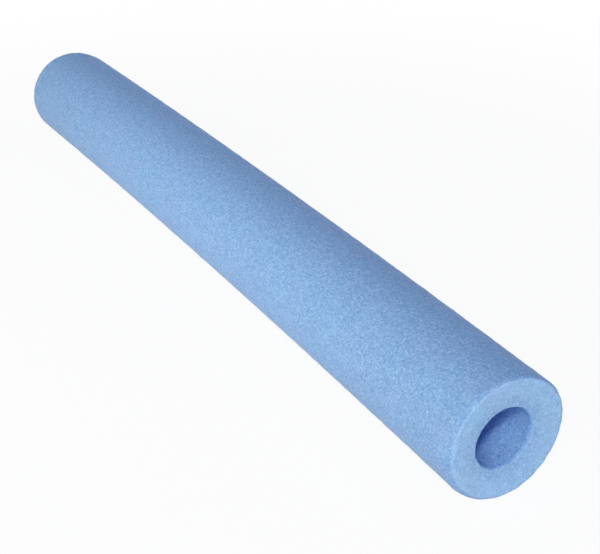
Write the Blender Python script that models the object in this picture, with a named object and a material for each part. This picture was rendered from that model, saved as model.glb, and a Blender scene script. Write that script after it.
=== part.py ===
"""Pool noodle: one length of extruded closed-cell foam tube, lying on its side.

The tube runs along X, with its origin on the floor under its middle. Its axis bows
sideways a little, its section is a slightly lobed circle and its bore sits a little
off centre, as extruded foam comes out of the die. All four cut edges are rounded,
and a narrow strip underneath is flat, where the foam takes its own weight.
"""

import math

import bmesh
import bpy
import numpy as np

# Sizes of the tube, in metres. Sideways is +Y.
LENGTH = 0.600
OUTER_DIAMETER = 0.075
BORE_DIAMETER = 0.036
BORE_SIDEWAYS = -0.0015
BORE_UPWARDS = 0.0012
BOW = 0.0035
OUTER_EDGE_ROUNDING = 0.0040
BORE_EDGE_ROUNDING = 0.0012
RESTING_FLAT_DEPTH = 0.0005

# How far the block that cuts the resting flat runs past the tube.
CUTTER_OVERRUN = 0.020

# The section's low lobes: how many go round, how high each stands as a share of the
# outer radius, and the direction of the first crest in degrees from +Y towards +Z.
LOBE_SHARES = (
    (2, 0.020, -29.0),
    (3, 0.006, 26.0),
    (4, 0.004, 14.0),
)

# Smoothness: points round the section, steps along the wall and round each edge.
SECTORS = 48
WALL_STEPS = 16
OUTER_EDGE_STEPS = 4
BORE_EDGE_STEPS = 2

# Pale blue polyethylene foam.
FOAM_COLOUR = (0.25, 0.43, 0.70, 1.0)
FOAM_ROUGHNESS = 0.85

# Edges that turn by more than this, in degrees, are drawn sharp.
SHARP_TURN = 40

OUTER_RADIUS = OUTER_DIAMETER / 2
BORE_RADIUS = BORE_DIAMETER / 2
TURN = np.linspace(0, 2 * math.pi, SECTORS, endpoint=False)


def clear_scene():
    for thing in list(bpy.data.objects):
        bpy.data.objects.remove(thing, do_unlink=True)


def bow_at(x):
    """How far the tube's axis stands sideways at x: a parabola, highest at mid-length."""
    return BOW * (1 - (2 * x / LENGTH) ** 2)


def outer_ring(x, depth):
    """A ring of the lobed section, drawn in by depth."""
    radius = np.full(SECTORS, OUTER_RADIUS)
    for count, share, crest in LOBE_SHARES:
        radius += share * OUTER_RADIUS * np.cos(count * (TURN - math.radians(crest)))
    radius -= depth
    sideways = bow_at(x) + radius * np.cos(TURN)
    return np.column_stack((np.full(SECTORS, x), sideways, radius * np.sin(TURN)))


def bore_ring(x, depth):
    """A ring of the round bore, let out by depth."""
    radius = BORE_RADIUS + depth
    sideways = bow_at(x) + BORE_SIDEWAYS + radius * np.cos(TURN)
    upwards = BORE_UPWARDS + radius * np.sin(TURN)
    return np.column_stack((np.full(SECTORS, x), sideways, upwards))


def rounded_edge(rounding, steps):
    """(distance from the cut, depth into the wall) round a quarter circle, from the wall to the cut."""
    angles = np.linspace(0, math.pi / 2, steps + 1)
    return [(rounding * (1 - math.sin(a)), rounding * (1 - math.cos(a))) for a in angles]


def wall(ring_of, rounding, edge_steps):
    """The rings of one wall, from the cut at +X to the cut at -X, with both its edges rounded."""
    edge = rounded_edge(rounding, edge_steps)
    end = LENGTH / 2
    straight = np.linspace(end - rounding, rounding - end, WALL_STEPS + 1)[1:-1]
    rings = [ring_of(end - back, depth) for back, depth in reversed(edge)]
    rings += [ring_of(x, 0) for x in straight]
    rings += [ring_of(back - end, depth) for back, depth in edge]
    return rings


def seated(rings):
    """The rings moved so that the tube's box is centred sideways and the resting flat is at height 0."""
    points = np.concatenate(rings)
    low, high = points.min(axis=0), points.max(axis=0)
    shift = np.array((0, -(low[1] + high[1]) / 2, -(low[2] + RESTING_FLAT_DEPTH)))
    return [ring + shift for ring in rings]


def tube_mesh():
    """The skin: out along the outer wall, across the far cut, back through the bore and across the near cut."""
    outside = wall(outer_ring, OUTER_EDGE_ROUNDING, OUTER_EDGE_STEPS)
    inside = wall(bore_ring, BORE_EDGE_ROUNDING, BORE_EDGE_STEPS)
    rings = seated(outside + inside[::-1])
    skin = bmesh.new()
    loops = []
    for ring in rings:
        corners = [skin.verts.new(point) for point in ring]
        loops.append([skin.edges.new((corners[i - 1], corners[i])) for i in range(SECTORS)])
    for i in range(len(loops)):
        bmesh.ops.bridge_loops(skin, edges=loops[i - 1] + loops[i])
    bmesh.ops.recalc_face_normals(skin, faces=skin.faces)
    return finished_mesh("foam_tube", skin)


def finished_mesh(name, shape):
    mesh = bpy.data.meshes.new(name)
    shape.to_mesh(mesh)
    shape.free()
    return mesh


def floor_block():
    """The block under height 0 that cuts the resting flat; it runs past the tube all round."""
    size = (LENGTH + CUTTER_OVERRUN, OUTER_DIAMETER + CUTTER_OVERRUN, CUTTER_OVERRUN)
    shape = bmesh.new()
    bmesh.ops.create_cube(shape, size=1)
    bmesh.ops.scale(shape, vec=size, verts=shape.verts)
    bmesh.ops.translate(shape, vec=(0, 0, -CUTTER_OVERRUN / 2), verts=shape.verts)
    block = bpy.data.objects.new("floor_block", finished_mesh("floor_block", shape))
    bpy.context.collection.objects.link(block)
    block.hide_render = True
    block.display_type = "WIRE"
    return block


def foam_material():
    material = bpy.data.materials.new("blue_foam")
    material.use_nodes = True
    shader = material.node_tree.nodes["Principled BSDF"]
    shader.inputs["Base Color"].default_value = FOAM_COLOUR
    shader.inputs["Roughness"].default_value = FOAM_ROUGHNESS
    shader.inputs["Metallic"].default_value = 0
    return material


def foam_tube():
    mesh = tube_mesh()
    mesh.materials.append(foam_material())
    tube = bpy.data.objects.new("foam_tube", mesh)
    bpy.context.collection.objects.link(tube)
    cut = tube.modifiers.new("resting_flat", "BOOLEAN")
    cut.operation = "DIFFERENCE"
    cut.solver = "EXACT"
    cut.object = floor_block()
    mesh.shade_smooth()
    mesh.set_sharp_from_angle(angle=math.radians(SHARP_TURN))
    return tube


clear_scene()
foam_tube()
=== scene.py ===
"""Pool noodle: the foam skin of one length of extruded tube, lying on a white studio floor.

The tube runs along X. Its skin is one closed surface worked out on a grid, and its
finish is a material of small closed foam cells. Lengths are in metres.
"""

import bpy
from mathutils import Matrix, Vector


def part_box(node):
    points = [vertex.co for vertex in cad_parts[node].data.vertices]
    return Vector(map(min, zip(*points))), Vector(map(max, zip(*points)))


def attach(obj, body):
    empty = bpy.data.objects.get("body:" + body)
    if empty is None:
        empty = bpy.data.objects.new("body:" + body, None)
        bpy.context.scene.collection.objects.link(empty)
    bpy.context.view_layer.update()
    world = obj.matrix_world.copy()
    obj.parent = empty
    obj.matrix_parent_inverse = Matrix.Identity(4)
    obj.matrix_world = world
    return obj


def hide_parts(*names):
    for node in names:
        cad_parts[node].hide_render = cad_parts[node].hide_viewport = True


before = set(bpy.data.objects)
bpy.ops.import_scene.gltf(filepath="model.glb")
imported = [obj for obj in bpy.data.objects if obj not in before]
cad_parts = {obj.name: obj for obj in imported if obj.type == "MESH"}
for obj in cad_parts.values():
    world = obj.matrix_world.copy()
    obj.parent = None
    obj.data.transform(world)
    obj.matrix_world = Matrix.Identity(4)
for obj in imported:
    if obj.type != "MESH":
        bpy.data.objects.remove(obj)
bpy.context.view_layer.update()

import math
from typing import NamedTuple

import bpy
import numpy as np
from mathutils import Matrix, Vector

bl_info = {
    "name": "Pool noodle",
    "version": (1, 0, 0),
    "blender": (4, 5, 0),
    "location": "3D View > Sidebar > Pool noodle",
    "description": "Builds the foam skin of a pool noodle and a white studio round it",
    "category": "Add Mesh",
}

TUBE_NODE = "foam_tube"
TUBE_BODY = "root"
TUBE_LOW, TUBE_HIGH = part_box(TUBE_NODE)
TUBE_LENGTH = TUBE_HIGH.x - TUBE_LOW.x
TUBE_MIDDLE = (TUBE_LOW + TUBE_HIGH) / 2

# The section's low lobes: how many go round, how high each stands as a share of the
# outer radius, and the direction of the first crest in degrees from +Y towards +Z.
LOBE_SHARES = (
    (2, 0.020, -29.0),
    (3, 0.006, 26.0),
    (4, 0.004, 14.0),
)

# How much softer the cut's edges are on some sides, in the same way: how many such sides
# there are, the share of the edge's mean radius, and the direction of the first. At the
# far cut they lie half a turn on.
OUTER_EDGE_SHARES = (
    (2, 0.22, 178.0),
    (1, 0.38, 212.0),
)
BORE_EDGE_SHARES = (
    (1, 0.70, -35.0),
)

# How many rings the skin's grid has round the outer edge, across a cut, round the bore's
# edge and from there to the middle of the bore.
OUTER_EDGE_RINGS = 9
CUT_RINGS = 17
BORE_EDGE_RINGS = 8
BORE_RINGS = 34

# The foam's gentle lumps: how many sine waves make them up, the least and the greatest
# width of a wave as shares of the lump width, and the seed of the waves' random draws.
LUMP_WAVES = 40
LUMP_WIDTH_SHARES = (0.8, 1.5)
LUMP_SEED = 4

# The skin's flat map, in which its finish can be painted: its name, how high the strips
# of the outer wall and of the bore and the discs of the two cuts stand in it, the middle
# of a strip and of each disc, how much room each gets, as a factor on its own size, and
# the gap between two of them.
FLAT_MAP = "OFBake"
WALL_STRIP_SHARE = 0.50
BORE_STRIP_SHARE = 0.19
CUT_DISC_SHARE = 0.29
STRIP_MIDDLE_SHARE = 0.50
NEAR_DISC_MIDDLE_SHARE = 0.25
FAR_DISC_MIDDLE_SHARE = 0.75
MAP_SLACK = 1.08
MAP_GAP_SHARE = 0.01

# Where one finish gives way to another, each as the start and the end of a smooth ramp.
# The cut's finish goes by how squarely the skin faces along the tube, the bore's by how
# far its share of bore exceeds that, and the lip's painted shade by how far across the cut
# it is. The mouth's colour, clear of the bore's painted shade, is whole for this share of
# the shade depth and fades out from there.
CUT_RAMP = (0.75, 0.97)
BORE_RAMP = (0.0, 0.6)
LIP_RAMP = (0.4, 1.0)
WHOLE_MOUTH_SHARE = 0.125

# A cell's mean height, where its rim is 0 and its middle is 1, and how much its own draw
# raises or lowers it.
MEAN_DOME = 0.7
OWN_HEIGHT_SHARE = 0.5

# The middle of a draw, of a cloud and of a tone, which all run from 0 to 1.
MIDDLE = 0.5

# How much each of these changes the tone: on the skin and on the cuts a cell's own draw
# and the shape of its dome or cup, which paints shade at a dome's rim and at a cup's
# bottom, and the clouds on the cuts and everywhere.
SKIN_DRAW_SHARE = 0.65
SKIN_DOME_SHADE_SHARE = 0.30
CUT_DRAW_SHARE = 0.75
CUT_CUP_SHADE_SHARE = 0.20
CUT_CLOUD_SHARE = 0.40
CLOUD_SHARE = 0.15

# Painted highlights on the cores of cells, and the few bright painted glints on the cuts,
# as smooth ramps: how near to its core a cell shows one, and how high the cell's own draw
# has to be.
HIGHLIGHT_CORE_RAMP = (0.64, 1.0)
HIGHLIGHT_DRAW_RAMP = (0.2, 1.0)
GLINT_CORE_RAMP = (0.76, 0.92)
GLINT_DRAW_RAMP = (0.95, 0.97)

# How many finer layers the clouds and the drift of the hue have, the ramp of the drift,
# and the two ends of the hue, as factors on red, green and blue.
CLOUD_LAYERS = 2.0
DRIFT_LAYERS = 3.0
DRIFT_RAMP = (0.3, 0.7)
COOL_HUE = (0.97, 1.008, 1.0, 1.0)
WARM_HUE = (1.03, 0.992, 1.0, 1.0)

BLACK = (0.0, 0.0, 0.0, 1.0)
PLAIN_WHITE = (1.0, 1.0, 1.0, 1.0)

# The floor starts to fade to plain white this share of the way to where it is all white.
FADE_START_SHARE = 1 / 3


class Lamp(NamedTuple):
    """A soft square lamp that looks at a place on the tube's middle line.

    The place is the along share of the tube's length from its middle. The azimuth and the
    elevation are in degrees, and the level is how bright the lamp makes a white card that
    faces it. The lamps behind the tube don't glint, because they would glint all along
    its skin.
    """

    name: str
    along_share: float
    azimuth: float
    elevation: float
    distance: float
    width: float
    level: float
    cool: bool = False
    glints: bool = True


LAMPS = (
    Lamp("key_lamp", 0.5, 47, 44, 1.8, 0.15, 0.373),
    Lamp("front_lamp", 0.0, 48, 28, 1.8, 0.6, 0.315),
    Lamp("left_lamp", -0.5, 25, 15, 0.75, 0.4, 0.26),
    Lamp("low_lamp", -0.5, 25, 6, 0.75, 0.15, 0.15),
    Lamp("high_lamp", 0.0, 150, 65, 1.8, 0.6, 0.17, cool=True),
    Lamp("top_lamp", -0.5, 200, 75, 0.75, 0.4, 0.105, cool=True),
    Lamp("right_lamp", 0.0, 100, 12, 1.8, 0.6, 0.10, cool=True),
    Lamp("back_lamp", 0.0, 200, 12, 1.8, 0.3, 0.14, cool=True, glints=False),
    Lamp("far_lamp", -0.5, 270, 3, 1.8, 0.15, 0.40, glints=False),
)


class FoamSizes(bpy.types.PropertyGroup):
    """The sizes of the foam tube's skin."""

    length: bpy.props.FloatProperty(
        name="Length",
        description="From one cut end to the other",
        default=TUBE_LENGTH,
        unit="LENGTH",
    )
    outer_diameter: bpy.props.FloatProperty(
        name="Outer diameter",
        description="Mean width of the lobed section",
        default=0.075,
        unit="LENGTH",
    )
    bore_diameter: bpy.props.FloatProperty(
        name="Bore diameter",
        description="Width of the hole right through the tube",
        default=0.036,
        unit="LENGTH",
    )
    bore_offset: bpy.props.FloatVectorProperty(
        name="Bore offset",
        description="How far the bore sits from the middle of the section, sideways and up",
        size=2,
        default=(-0.0015, 0.0012),
        unit="LENGTH",
    )
    bow: bpy.props.FloatProperty(
        name="Bow",
        description="How far the middle of the tube stands out to +Y of its ends",
        default=0.0035,
        unit="LENGTH",
    )
    outer_rounding: bpy.props.FloatProperty(
        name="Outer edge rounding",
        description="Mean radius of the soft edge between the outer wall and a cut",
        default=0.0033,
        unit="LENGTH",
    )
    bore_rounding: bpy.props.FloatProperty(
        name="Bore edge rounding",
        description="Mean radius of the soft edge between the bore and a cut",
        default=0.0012,
        unit="LENGTH",
    )
    cut_dish: bpy.props.FloatProperty(
        name="Cut dish",
        description="How far a cut slopes in from its outer edge to the bore",
        default=0.0009,
        unit="LENGTH",
    )
    resting_depth: bpy.props.FloatProperty(
        name="Resting depth",
        description="How far the foam is pressed flat underneath by its own weight",
        default=0.0005,
        unit="LENGTH",
    )
    lump_height: bpy.props.FloatProperty(
        name="Lump height",
        description="How far the foam's gentle lumps stand out or in",
        default=0.00006,
        unit="LENGTH",
    )
    lump_width: bpy.props.FloatProperty(
        name="Lump width",
        description="From one lump to the next",
        default=0.0055,
        unit="LENGTH",
    )
    sectors: bpy.props.IntProperty(
        name="Sectors",
        description="Corners of the skin's grid round the section",
        default=176,
    )
    wall_step: bpy.props.FloatProperty(
        name="Wall step",
        description="Length of the grid's faces along the outer wall",
        default=0.0014,
        unit="LENGTH",
    )


class FoamFinish(bpy.types.PropertyGroup):
    """The colours and the cells of the foam, with its painted shade, painted highlights and painted glow.
    """

    foam_colour: bpy.props.FloatVectorProperty(
        name="Foam colour",
        description="Middle colour of the outer wall",
        subtype="COLOR",
        size=4,
        default=(0.231, 0.405, 0.662, 1.0),
    )
    # Paler than the wall, partly from the opened cells and partly painted light on the cut ends.
    cut_colour_and_light: bpy.props.FloatVectorProperty(
        name="Cut colour",
        description="Middle colour of the two cuts, paler where the knife opened the cells",
        subtype="COLOR",
        size=4,
        default=(0.368, 0.594, 0.840, 1.0),
    )
    # Darker than the mouth colour: painted shade deep inside the bore.
    bore_shade_colour: bpy.props.FloatVectorProperty(
        name="Bore colour",
        description="Middle colour of the bore's wall, deep inside",
        subtype="COLOR",
        size=4,
        default=(0.203, 0.362, 0.635, 1.0),
    )
    mouth_colour: bpy.props.FloatVectorProperty(
        name="Mouth colour",
        description="Middle colour of the bore's wall at its two mouths",
        subtype="COLOR",
        size=4,
        default=(0.230, 0.430, 0.670, 1.0),
    )
    # The depth from which the bore's painted shade is whole.
    bore_shade_depth: bpy.props.FloatProperty(
        name="Mouth depth",
        description="How deep in the bore the mouth's paler colour fades out",
        default=0.032,
        unit="LENGTH",
    )
    # Painted shade on the cut next to the bore.
    lip_shade_share: bpy.props.FloatProperty(
        name="Lip share",
        description="How much of the outer wall's deeper colour a cut shows next to the bore",
        subtype="FACTOR",
        default=0.45,
    )
    # A painted glow: emission on the bore's wall, standing for light that soaks through the foam.
    painted_bore_glow: bpy.props.FloatVectorProperty(
        name="Soaked light",
        description="The deep blue light that soaks through the wall into the bore",
        subtype="COLOR",
        size=4,
        default=(0.0, 0.001, 0.046, 1.0),
    )
    # Colour of the painted highlights and glints on the cell cores.
    highlight_colour: bpy.props.FloatVectorProperty(
        name="Grain colour",
        description="Colour of a cell's core where it is full of light",
        subtype="COLOR",
        size=4,
        default=(0.55, 0.75, 0.92, 1.0),
    )
    tone_range: bpy.props.FloatVectorProperty(
        name="Tone range",
        description="How far the darkest and the lightest cells lie from the middle colour",
        size=3,
        default=(0.085, 0.11, 0.12),
    )
    cell_size: bpy.props.FloatProperty(
        name="Cell size",
        description="Usual width of a cell that domes up through the skin",
        default=0.00115,
        unit="LENGTH",
    )
    cell_height: bpy.props.FloatProperty(
        name="Cell height",
        description="How far a cell domes up through the skin",
        default=0.00025,
        unit="LENGTH",
    )
    fine_cell_size: bpy.props.FloatProperty(
        name="Fine cell size",
        description="Usual width of the lighter and darker spots inside the foam",
        default=0.00095,
        unit="LENGTH",
    )
    cut_cell_size: bpy.props.FloatProperty(
        name="Cut cell size",
        description="Usual width of a cell that the knife opened",
        default=0.0013,
        unit="LENGTH",
    )
    cut_cell_depth: bpy.props.FloatProperty(
        name="Cut cell depth",
        description="How deep an opened cell goes",
        default=0.00022,
        unit="LENGTH",
    )
    # Spacing of the painted highlights.
    highlight_spacing: bpy.props.FloatProperty(
        name="Grain size",
        description="From one pale grain to the next",
        default=0.0017,
        unit="LENGTH",
    )
    # Strength of a usual painted highlight.
    highlight_strength: bpy.props.FloatProperty(
        name="Grain strength",
        description="How much of the grain colour a usual grain shows",
        subtype="FACTOR",
        default=0.33,
    )
    # Strength of the few painted glints on the cuts.
    glint_strength: bpy.props.FloatProperty(
        name="Spark strength",
        description="How much of the grain colour the few bright sparks on a cut show",
        subtype="FACTOR",
        default=0.85,
    )
    cloud_size: bpy.props.FloatProperty(
        name="Cloud size",
        description="Width of the soft lighter and darker clouds",
        default=0.006,
        unit="LENGTH",
    )
    drift_size: bpy.props.FloatProperty(
        name="Drift size",
        description="Width of the wide patches in which the hue drifts",
        default=0.022,
        unit="LENGTH",
    )
    roughness: bpy.props.FloatProperty(
        name="Roughness",
        description="Roughness of the skin over one cell",
        subtype="FACTOR",
        default=0.54,
    )
    bore_roughness: bpy.props.FloatProperty(
        name="Bore roughness",
        description="How much rougher the bore's wall is",
        subtype="FACTOR",
        default=0.5,
    )
    gloss: bpy.props.FloatProperty(
        name="Gloss",
        description="Strength of the skin's faint gloss",
        subtype="FACTOR",
        default=0.3,
    )


class StudioSettings(bpy.types.PropertyGroup):
    """The floor, the lamps and the camera."""

    floor_width: bpy.props.FloatProperty(
        name="Floor width",
        description="Side of the square floor",
        default=30.0,
        unit="LENGTH",
    )
    floor_colour: bpy.props.FloatVectorProperty(
        name="Floor colour",
        description="Colour of the matt floor under the lamps",
        subtype="COLOR",
        size=4,
        default=(0.85, 0.85, 0.85, 1.0),
    )
    floor_white: bpy.props.FloatProperty(
        name="Floor white",
        description="Share of plain white in the floor round the tube, as the camera sees it",
        subtype="FACTOR",
        default=0.93,
    )
    white_from: bpy.props.FloatProperty(
        name="White from",
        description="From the tube's middle to where the floor is seen as plain white",
        default=0.75,
        unit="LENGTH",
    )
    sky_level: bpy.props.FloatProperty(
        name="Sky level",
        description="How much light comes from all round",
        default=0.01,
    )
    white_light: bpy.props.FloatVectorProperty(
        name="White light",
        description="Colour of the plain white lamps",
        subtype="COLOR",
        size=3,
        default=(1.0, 1.0, 1.0),
    )
    cool_light: bpy.props.FloatVectorProperty(
        name="Cool light",
        description="Colour of the cool lamps that fill the shaded side",
        subtype="COLOR",
        size=3,
        default=(0.40, 0.60, 1.0),
    )
    camera_azimuth: bpy.props.FloatProperty(
        name="Camera azimuth",
        description="Direction of the camera, turned from -Y towards +X",
        default=math.radians(59.506),
        unit="ROTATION",
    )
    camera_elevation: bpy.props.FloatProperty(
        name="Camera elevation",
        description="How far the camera looks down",
        default=math.radians(28.402),
        unit="ROTATION",
    )
    camera_place: bpy.props.FloatVectorProperty(
        name="Camera place",
        description="Where the camera stands",
        subtype="TRANSLATION",
        unit="LENGTH",
        size=3,
        default=(0.68297, -0.34984, 0.40555),
    )
    camera_lens: bpy.props.FloatProperty(
        name="Camera lens",
        description="Focal length in millimetres",
        default=73.12,
    )
    sensor_width: bpy.props.FloatProperty(
        name="Sensor width",
        description="Width of the camera's sensor in millimetres",
        default=36.0,
    )


class Shade:
    """One socket of a node tree. Sums and products of shades add Math nodes to the tree."""

    def __init__(self, tree, socket=None):
        self.tree = tree
        self.socket = socket

    def node(self, kind, settings=None, inputs=None, output=0):
        """Adds a node of this kind, sets its settings, then the values or links of its inputs."""
        made = self.tree.nodes.new(kind)
        for name, value in (settings or {}).items():
            setattr(made, name, value)
        for name, value in (inputs or {}).items():
            if isinstance(value, Shade):
                self.tree.links.new(value.socket, made.inputs[name])
            else:
                made.inputs[name].default_value = value
        return Shade(self.tree, made.outputs[output]) if len(made.outputs) else made

    def also(self, output):
        """Another output of the node that gave this one."""
        return Shade(self.tree, self.socket.node.outputs[output])

    def maths(self, operation, first, second=0.0):
        """Adds a Math node of this operation on numbers or shades."""
        return self.node("ShaderNodeMath", {"operation": operation}, {0: first, 1: second})

    def __add__(self, other):
        return self.maths("ADD", self, other)

    def __radd__(self, other):
        return self.maths("ADD", other, self)

    def __sub__(self, other):
        return self.maths("SUBTRACT", self, other)

    def __rsub__(self, other):
        return self.maths("SUBTRACT", other, self)

    def __mul__(self, other):
        return self.maths("MULTIPLY", self, other)

    def __rmul__(self, other):
        return self.maths("MULTIPLY", other, self)

    def __pow__(self, other):
        return self.maths("POWER", self, other)

    def __abs__(self):
        return self.maths("ABSOLUTE", self)

    def at_most(self, other):
        return self.maths("MINIMUM", self, other)

    def at_least(self, other):
        return self.maths("MAXIMUM", self, other)

    def ramped(self, low, high):
        """0 below low, 1 above high, and smooth between."""
        settings = {"interpolation_type": "SMOOTHSTEP"}
        return self.node("ShaderNodeMapRange", settings, {0: self, 1: low, 2: high, 3: 0.0, 4: 1.0})

    def between(self, first, second):
        """A number: the first where this is 0, the second where it is 1."""
        return first + (second - first) * self

    def mixed(self, first, second):
        """A colour: the first where this is 0, the second where it is 1."""
        settings = {"data_type": "RGBA"}
        return self.node("ShaderNodeMix", settings, {0: self, 6: first, 7: second}, output=2)

    def times(self, other):
        """This colour times another, channel by channel."""
        settings = {"data_type": "RGBA", "blend_type": "MULTIPLY"}
        return self.node("ShaderNodeMix", settings, {0: 1.0, 6: self, 7: other}, output=2)


def lobed(turn, mean, shares):
    """A radius with lobes: the mean, times 1 plus a cosine of each kind's count, share and crest."""
    waves = [share * np.cos(count * (turn - math.radians(crest))) for count, share, crest in shares]
    return mean * (1 + sum(waves))


def section(turn, sizes, depth):
    """The lobed section's points, sideways and up, drawn in by the depth."""
    radius = lobed(turn, sizes.outer_diameter / 2, LOBE_SHARES) - depth
    return radius * np.cos(turn), radius * np.sin(turn)


def bore(turn, sizes, depth):
    """The round bore's points, sideways and up: a circle about the offset, let out by the depth."""
    radius = sizes.bore_diameter / 2 + depth
    sideways = sizes.bore_offset[0] + radius * np.cos(turn)
    upwards = sizes.bore_offset[1] + radius * np.sin(turn)
    return sideways, upwards


def rings(reach, bore_share=0.0, outer_bend=0.0, bore_bend=0.0):
    """Rows of the profile on the near side. What is given as one number is alike in all of them."""
    return np.column_stack(np.broadcast_arrays(1.0, reach, bore_share, outer_bend, bore_bend))


def skin_profile(sizes):
    """The rings of the closed skin, as rows of (side, reach, share of bore, outer bend, bore bend).

    A ring lies at this share of the way, the reach, from the middle to where the soft
    edge starts, and then at this angle, the bend, round the edge. Half of the profile goes
    from the middle of the outer wall round the near cut to the middle of the bore, where
    the rings lie closer towards the mouth. The other half is its mirror image.
    """
    quarter = math.pi / 2
    half = np.concatenate((
        rings(np.linspace(0, 1, round(sizes.length / 2 / sizes.wall_step))[:-1]),
        rings(1, outer_bend=np.linspace(0, quarter, OUTER_EDGE_RINGS)),
        rings(1, np.linspace(0, 1, CUT_RINGS)[1:-1], quarter, quarter),
        rings(1, 1, bore_bend=np.linspace(quarter, 0, BORE_EDGE_RINGS)),
        rings(1 - np.linspace(0, 1, BORE_RINGS)[1:] ** 2, 1),
    ))
    mirrored = half[-2:0:-1] * (-1, 1, 1, 1, 1)
    return np.concatenate((half, mirrored))


def lumps(points, width):
    """Gentle lumps: a sum of sine waves of about this width that run in every direction.

    The sum is scaled so that its usual size is 1.
    """
    draw = np.random.default_rng(LUMP_SEED)
    heading = draw.normal(size=(LUMP_WAVES, 3))
    heading /= np.linalg.norm(heading, axis=1, keepdims=True)
    heading *= 2 * math.pi / (width * draw.uniform(*LUMP_WIDTH_SHARES, size=(LUMP_WAVES, 1)))
    start = draw.uniform(0, 2 * math.pi, size=LUMP_WAVES)
    return np.sin(points @ heading.T + start).sum(axis=-1) * math.sqrt(2 / LUMP_WAVES)


def outward(points):
    """Each point's outward direction: the cross product of the grid's two slopes there."""
    along = np.roll(points, -1, axis=0) - np.roll(points, 1, axis=0)
    around = np.roll(points, -1, axis=1) - np.roll(points, 1, axis=1)
    crossed = np.cross(around, along)
    return crossed / np.linalg.norm(crossed, axis=2, keepdims=True)


def skin_points(sizes):
    """The skin's grid of rings by sectors: points, how squarely each faces along the tube, bore share.

    A ring is the lobed section, the bore or a mix of both, moved sideways by the bow, a
    parabola along the tube. A cut slopes in by the dish from its outer edge to the bore.
    The whole is set down with the resting depth under height 0, pushed out or in by the
    lumps, and pressed flat at height 0.
    """
    side, reach, bore_share, outer_bend, bore_bend = skin_profile(sizes).T[:, :, None]
    turn = np.linspace(0, 2 * math.pi, sizes.sectors, endpoint=False)[None, :]
    edge_turn = turn + np.where(side < 0, math.pi, 0)
    outer_radius = lobed(edge_turn, sizes.outer_rounding, OUTER_EDGE_SHARES)
    bore_radius = lobed(edge_turn, sizes.bore_rounding, BORE_EDGE_SHARES)
    outer = section(turn, sizes, outer_radius * (1 - np.cos(outer_bend)))
    inner = bore(turn, sizes, bore_radius * (1 - np.cos(bore_bend)))
    end = sizes.length / 2
    mouth = end - sizes.cut_dish
    outer_place = (end - outer_radius) * reach + outer_radius * np.sin(outer_bend)
    bore_place = (mouth - bore_radius) * reach + bore_radius * np.sin(bore_bend)
    place = side * ((1 - bore_share) * outer_place + bore_share * bore_place)
    bow = sizes.bow * (1 - (2 * place / sizes.length) ** 2)
    sideways = bow + (1 - bore_share) * outer[0] + bore_share * inner[0]
    upwards = (1 - bore_share) * outer[1] + bore_share * inner[1]
    points = np.stack((place, sideways, upwards), axis=2)
    low = points.min(axis=(0, 1))
    high = points.max(axis=(0, 1))
    points -= (0, (low[1] + high[1]) / 2, low[2] + sizes.resting_depth)
    normal = outward(points)
    points += normal * (sizes.lump_height * lumps(points, sizes.lump_width))[:, :, None]
    points[:, :, 2] = np.maximum(points[:, :, 2], 0)
    return points, np.abs(normal[:, :, 0]), np.broadcast_to(bore_share, place.shape)


def flat_places(points, sizes):
    """Each face corner's place on the skin's flat map.

    The outer wall and the bore are strips: across is the distance along the profile from
    the strip's middle, and up is the turn. The two cuts are discs side by side, seen
    straight on. A face's last corners belong to the next ring and the next sector, and
    past the last of these they go on counting, so that no face crosses the whole map.
    """
    ring_count, sectors = points.shape[:2]
    steps = np.linalg.norm(np.roll(points, -1, axis=0) - points, axis=2).mean(axis=1)
    way = np.concatenate(([0], np.cumsum(steps)))
    ring = np.arange(ring_count)[:, None, None]
    corner_ring = ring + np.array((0, 0, 1, 1))
    corner_sector = np.arange(sectors)[None, :, None] + np.array((0, 1, 1, 0))
    corner = points[corner_ring % ring_count, corner_sector % sectors]
    along, turn = np.broadcast_arrays(way[corner_ring], corner_sector / sectors)

    strip_length = sizes.length * MAP_SLACK
    from_wall = np.where(ring * 2 < ring_count, along, along - way[-1])
    wall_across = STRIP_MIDDLE_SHARE + from_wall / strip_length
    wall = np.stack((wall_across, turn * WALL_STRIP_SHARE), axis=3)

    bore_foot = WALL_STRIP_SHARE + MAP_GAP_SHARE
    from_bore = along - way[ring_count // 2]
    bore_across = STRIP_MIDDLE_SHARE + from_bore / strip_length
    inside = np.stack((bore_across, bore_foot + turn * BORE_STRIP_SHARE), axis=3)

    disc_foot = bore_foot + BORE_STRIP_SHARE + MAP_GAP_SHARE
    disc_middle = np.where(corner[..., 0] > 0, NEAR_DISC_MIDDLE_SHARE, FAR_DISC_MIDDLE_SHARE)
    scale = CUT_DISC_SHARE / (sizes.outer_diameter * MAP_SLACK)
    disc = np.stack((disc_middle + corner[..., 1] * scale, disc_foot + corner[..., 2] * scale), axis=3)

    share = skin_profile(sizes)[:, 2]
    next_share = np.roll(share, -1)
    on_wall = ((share == 0) & (next_share == 0))[:, None, None, None]
    in_bore = ((share == 1) & (next_share == 1))[:, None, None, None]
    return np.where(on_wall, wall, np.where(in_bore, inside, disc))


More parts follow.
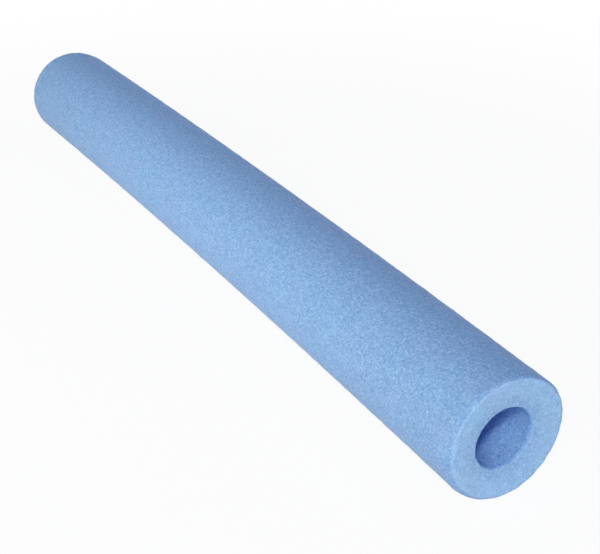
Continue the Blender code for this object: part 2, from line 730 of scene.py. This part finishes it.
def skin_mesh(name, sizes):
    """The closed skin: each grid point joins the next ring and the next sector, and both wrap round."""
    points, cut_share, bore_share = skin_points(sizes)
    ring_count, sectors = cut_share.shape
    ring = np.arange(ring_count)[:, None]
    sector = np.arange(sectors)[None, :]
    next_ring = (ring + 1) % ring_count
    next_sector = (sector + 1) % sectors
    corners = (
        ring * sectors + sector,
        ring * sectors + next_sector,
        next_ring * sectors + next_sector,
        next_ring * sectors + sector,
    )
    faces = np.stack(corners, axis=2).reshape(-1, 4)
    mesh = bpy.data.meshes.new(name)
    mesh.from_pydata(points.reshape(-1, 3), [], faces)
    for attribute_name, values in (("cut_share", cut_share), ("bore_share", bore_share)):
        attribute = mesh.attributes.new(attribute_name, "FLOAT", "POINT")
        attribute.data.foreach_set("value", values.ravel().astype(np.float32))
    flat_map = mesh.uv_layers.new(name=FLAT_MAP)
    flat_map.data.foreach_set("uv", flat_places(points, sizes).ravel().astype(np.float32))
    mesh.shade_smooth()
    return mesh


def emptied(holder):
    """Clears the nodes of a material or a world, and gives the shade that new ones start from."""
    holder.use_nodes = True
    holder.node_tree.nodes.clear()
    return Shade(holder.node_tree)


def cells(place, size):
    """Cells of this usual width: the distance from each cell's middle, in shares of the width."""
    return place.node("ShaderNodeTexVoronoi", {"feature": "F1"}, {"Vector": place, "Scale": 1 / size})


def domed(pattern):
    """How high each cell stands, from 0 at its rim to 1: 1 less the square of the distance."""
    return 1 - pattern ** 2.0


def drawn(pattern):
    """Each cell's own random draw from 0 to 1. Its node's Green output is another one."""
    return pattern.node("ShaderNodeSeparateColor", None, {"Color": pattern.also("Color")})


def clouds(place, size, layers):
    """Soft clouds of this width round the middle of 0 to 1, with this many finer layers."""
    return place.node("ShaderNodeTexNoise", None, {"Vector": place, "Scale": 1 / size, "Detail": layers})


def relief(dome, own_height, height):
    """A cell's height, about the mean of all: its dome, raised or lowered by its own draw."""
    return (dome - MEAN_DOME + (own_height - MIDDLE) * OWN_HEIGHT_SHARE) * height


def foam_tone(place, dome, cup, on_cut, finish):
    """From 0 at the darkest to 1 at the lightest: each cell's own draw, painted shade by the shape of its
    dome or cup, and the clouds.
    """
    own_tone = drawn(cells(place, finish.fine_cell_size)) - MIDDLE
    cloud = clouds(place, finish.cloud_size, CLOUD_LAYERS) - MIDDLE
    # Painted shade: a dome lighter at its top and darker at its rim, a cup darker at its bottom.
    skin_tone = own_tone * SKIN_DRAW_SHARE + (dome - MEAN_DOME) * SKIN_DOME_SHADE_SHARE
    cup_shade = (cup - MEAN_DOME) * CUT_CUP_SHADE_SHARE
    cut_tone = own_tone * CUT_DRAW_SHARE - cup_shade + cloud * CUT_CLOUD_SHARE
    return on_cut.between(skin_tone, cut_tone) + cloud * CLOUD_SHARE + MIDDLE


def toned(tone, colour, tone_range):
    """The colour, darker by the tone range at tone 0 and lighter by it at tone 1."""
    dark = [channel - step for channel, step in zip(colour, tone_range)] + [1.0]
    light = [channel + step for channel, step in zip(colour, tone_range)] + [1.0]
    return tone.mixed(dark, light)


def foam_colour(tone, sliced, in_bore, at_mouth, finish):
    """The outer wall's colour; the cuts' where the foam is sliced, paler partly from the opened cells and
    partly painted light; or the bore's, darker deep inside in painted shade that clears at the mouths;
    each in this tone.
    """
    middles = (finish.foam_colour, finish.cut_colour_and_light, finish.bore_shade_colour, finish.mouth_colour)
    wall, cut, deep, mouth = [toned(tone, middle, finish.tone_range) for middle in middles]
    return in_bore.mixed(sliced.mixed(wall, cut), at_mouth.mixed(deep, mouth))


def highlight_share(place, on_cut, finish):
    """How much of the highlight colour shows: a usual painted highlight on a cell's core, or on a cut one
    of the few bright painted glints.
    """
    pattern = cells(place, finish.highlight_spacing)
    core = domed(pattern)
    own_light = drawn(pattern)
    own_glint = own_light.also("Green")
    usual = core.ramped(*HIGHLIGHT_CORE_RAMP) * own_light.ramped(*HIGHLIGHT_DRAW_RAMP) * finish.highlight_strength
    cut_glint = core.ramped(*GLINT_CORE_RAMP) * own_glint.ramped(*GLINT_DRAW_RAMP) * on_cut
    return usual.at_least(cut_glint * finish.glint_strength)


def foam_material(name, finish):
    """Closed-cell foam.

    Under the thin skin each cell domes up, to its own height and in its own tone, and the
    tone is lighter at the dome's top and darker at its rim, which is painted shade. Where the
    knife went, the cells are open cups, darker at the bottom in painted shade, and the cuts
    are paler, partly from the opened cells and partly painted light. Next to the bore the cut
    is deeper in colour, painted shade at the lip. The cores of some cells show painted
    highlights, and a few on the cuts bright painted glints. Soft clouds run through the
    whole, and its hue drifts a little. Deep inside, the bore's wall is darker in painted
    shade, which clears towards its mouths, and a trace of deep blue on it is a painted glow
    that stands for the light that soaks through it.
    """
    material = bpy.data.materials.new(name)
    start = emptied(material)
    place = start.node("ShaderNodeTexCoord", output="Object")
    cut_share = start.node("ShaderNodeAttribute", {"attribute_name": "cut_share"}, output="Fac")
    bore_share = start.node("ShaderNodeAttribute", {"attribute_name": "bore_share"}, output="Fac")
    on_cut = cut_share.ramped(*CUT_RAMP)
    in_bore = (bore_share - cut_share).ramped(*BORE_RAMP)

    skin_cells = cells(place, finish.cell_size)
    dome = domed(skin_cells)
    cut_cells = cells(place, finish.cut_cell_size)
    cup = domed(cut_cells)
    skin_height = relief(dome, drawn(skin_cells), finish.cell_height)
    cut_height = relief(cup, drawn(cut_cells), -finish.cut_cell_depth)
    height = on_cut.between(skin_height, cut_height)
    bump = start.node("ShaderNodeBump", None, {"Strength": 1.0, "Distance": 1.0, "Height": height})

    tone = foam_tone(place, dome, cup, on_cut, finish)
    # Next to the bore the cut takes on the wall's deeper colour: painted shade at the lip.
    sliced = on_cut * (1 - bore_share.ramped(*LIP_RAMP) * finish.lip_shade_share)
    along = abs(place.node("ShaderNodeSeparateXYZ", None, {"Vector": place}, output="X"))
    end = TUBE_LENGTH / 2
    # The bore's painted shade clears towards each mouth.
    at_mouth = along.ramped(end - finish.bore_shade_depth, end - finish.bore_shade_depth * WHOLE_MOUTH_SHARE)
    colour = foam_colour(tone, sliced, in_bore, at_mouth, finish)
    # Painted highlights and glints on the cell cores.
    highlighted = highlight_share(place, on_cut, finish).mixed(colour, tuple(finish.highlight_colour))
    drift = clouds(place, finish.drift_size, DRIFT_LAYERS).ramped(*DRIFT_RAMP)

    surface = start.node("ShaderNodeBsdfPrincipled", None, {
        "Base Color": highlighted.times(drift.mixed(COOL_HUE, WARM_HUE)),
        "Roughness": (in_bore * finish.bore_roughness + finish.roughness).at_most(1.0),
        "Specular IOR Level": finish.gloss,
        "Normal": bump,
        # A painted deep blue glow over the bore's wall, standing for light that soaks through the foam.
        "Emission Color": in_bore.mixed(BLACK, tuple(finish.painted_bore_glow)),
        "Emission Strength": 1.0,
    })
    start.node("ShaderNodeOutputMaterial", None, {"Surface": surface})
    return material


def seen_directly(start):
    """1 for what the camera sees, straight or by way of gloss or glass, and 0 for light on the object."""
    camera = start.node("ShaderNodeLightPath", output="Is Camera Ray")
    gloss = start.node("ShaderNodeLightPath", output="Is Glossy Ray")
    glass = start.node("ShaderNodeLightPath", output="Is Transmission Ray")
    return camera.at_least(gloss).at_least(glass)


def floor_material(name, studio):
    """A matt white floor that keeps the tube's shadow.

    Where it is seen directly it is mixed with plain white, by the floor white round the
    tube and wholly from the white-from distance outwards.
    """
    material = bpy.data.materials.new(name)
    start = emptied(material)
    place = start.node("ShaderNodeTexCoord", output="Object")
    away = start.node("ShaderNodeVectorMath", {"operation": "LENGTH"}, {0: place}, output="Value")
    matt = start.node("ShaderNodeBsdfDiffuse", None, {"Color": tuple(studio.floor_colour)})
    white = start.node("ShaderNodeEmission", None, {"Color": PLAIN_WHITE, "Strength": 1.0})
    fade_start = studio.white_from * FADE_START_SHARE
    faded = away.ramped(fade_start, studio.white_from) * (1 - studio.floor_white)
    share = seen_directly(start) * (faded + studio.floor_white)
    surface = start.node("ShaderNodeMixShader", None, {0: share, 1: matt, 2: white})
    start.node("ShaderNodeOutputMaterial", None, {"Surface": surface})
    return material


def studio_world(name, studio):
    """White all round: plain white where it is seen directly, and a cool light of the sky level."""
    world = bpy.data.worlds.new(name)
    start = emptied(world)
    seen = seen_directly(start)
    colour = seen.mixed((*studio.cool_light, 1.0), PLAIN_WHITE)
    level = seen + (1 - seen) * studio.sky_level
    sky = start.node("ShaderNodeBackground", None, {"Color": colour, "Strength": level})
    start.node("ShaderNodeOutputWorld", None, {"Surface": sky})
    bpy.context.scene.world = world


def floor_mesh(name, width):
    """A flat square at height 0: the grid of its two ends sideways and its two ends forwards."""
    ends = np.array((-width / 2, width / 2))
    sideways, forwards = np.meshgrid(ends, ends)
    points = np.stack((sideways, forwards, 0 * sideways), axis=2).reshape(-1, 3)
    mesh = bpy.data.meshes.new(name)
    mesh.from_pydata(points, [], [(0, 1, 3, 2)])
    return mesh


def view_turn(azimuth, elevation):
    """The axes right, up and back of something that looks from this direction, as a rotation."""
    back = Vector((
        math.sin(azimuth) * math.cos(elevation),
        -math.cos(azimuth) * math.cos(elevation),
        math.sin(elevation),
    ))
    right = Vector((math.cos(azimuth), math.sin(azimuth), 0))
    return Matrix((right, back.cross(right), back)).transposed()


def soft_lamp(lamp, colour):
    """A square area lamp, with the power that makes a white card at its aim as bright as its level."""
    light = bpy.data.lights.new(lamp.name, "AREA")
    light.shape = "SQUARE"
    light.size = lamp.width
    light.energy = lamp.level * (math.pi * lamp.distance) ** 2
    light.color = colour
    made = bpy.data.objects.new(lamp.name, light)
    aim = TUBE_MIDDLE + Vector((lamp.along_share * TUBE_LENGTH, 0, 0))
    turn = view_turn(math.radians(lamp.azimuth), math.radians(lamp.elevation))
    made.matrix_world = Matrix.Translation(aim + turn @ Vector((0, 0, lamp.distance))) @ turn.to_4x4()
    made.visible_glossy = lamp.glints
    bpy.context.scene.collection.objects.link(made)


def photo_camera(name, studio):
    """The camera, at its place and turned to its direction."""
    data = bpy.data.cameras.new(name)
    data.lens = studio.camera_lens
    data.sensor_width = studio.sensor_width
    camera = bpy.data.objects.new(name, data)
    turn = view_turn(studio.camera_azimuth, studio.camera_elevation)
    camera.matrix_world = Matrix.Translation(Vector(studio.camera_place)) @ turn.to_4x4()
    bpy.context.scene.collection.objects.link(camera)
    bpy.context.scene.camera = camera


class FoamTube(bpy.types.Operator):
    """Builds the foam tube's skin with its cells"""

    bl_idname = "noodle.foam_tube"
    bl_label = "Foam tube"

    def execute(self, context):
        mesh = skin_mesh("foam_skin", context.scene.foam_sizes)
        mesh.materials.append(foam_material("blue_foam_cells", context.scene.foam_finish))
        skin = bpy.data.objects.new("foam_skin", mesh)
        context.scene.collection.objects.link(skin)
        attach(skin, TUBE_BODY)
        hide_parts(TUBE_NODE)
        return {"FINISHED"}


class Studio(bpy.types.Operator):
    """Builds the white floor, the soft lamps and the camera"""

    bl_idname = "noodle.studio"
    bl_label = "Studio"

    def execute(self, context):
        studio = context.scene.studio_settings
        mesh = floor_mesh("studio_floor", studio.floor_width)
        mesh.materials.append(floor_material("white_floor", studio))
        floor = bpy.data.objects.new("studio_floor", mesh)
        context.scene.collection.objects.link(floor)
        studio_world("studio_white", studio)
        for lamp in LAMPS:
            soft_lamp(lamp, studio.cool_light if lamp.cool else studio.white_light)
        photo_camera("photo_camera", studio)
        context.scene.view_settings.view_transform = "Standard"
        return {"FINISHED"}


class NoodlePanel(bpy.types.Panel):
    """Lists the pool noodle's steps and their settings"""

    bl_idname = "VIEW3D_PT_pool_noodle"
    bl_label = "Pool noodle"
    bl_space_type = "VIEW_3D"
    bl_region_type = "UI"
    bl_category = "Pool noodle"

    def draw(self, context):
        for operator, groups in STEPS:
            self.layout.operator(operator.bl_idname)
            for group in groups:
                settings = getattr(context.scene, group)
                for name in settings.__annotations__:
                    self.layout.prop(settings, name)


STEPS = (
    (FoamTube, ("foam_sizes", "foam_finish")),
    (Studio, ("studio_settings",)),
)
GROUPS = {
    "foam_sizes": FoamSizes,
    "foam_finish": FoamFinish,
    "studio_settings": StudioSettings,
}
CLASSES = (FoamSizes, FoamFinish, StudioSettings, FoamTube, Studio, NoodlePanel)


def register():
    for kind in CLASSES:
        bpy.utils.register_class(kind)
    for name, group in GROUPS.items():
        setattr(bpy.types.Scene, name, bpy.props.PointerProperty(type=group))


def unregister():
    for name in GROUPS:
        delattr(bpy.types.Scene, name)
    for kind in reversed(CLASSES):
        bpy.utils.unregister_class(kind)


def main():
    """Builds the tube and the studio."""
    register()
    bpy.ops.noodle.foam_tube()
    bpy.ops.noodle.studio()


if __name__ == "__main__":
    main()
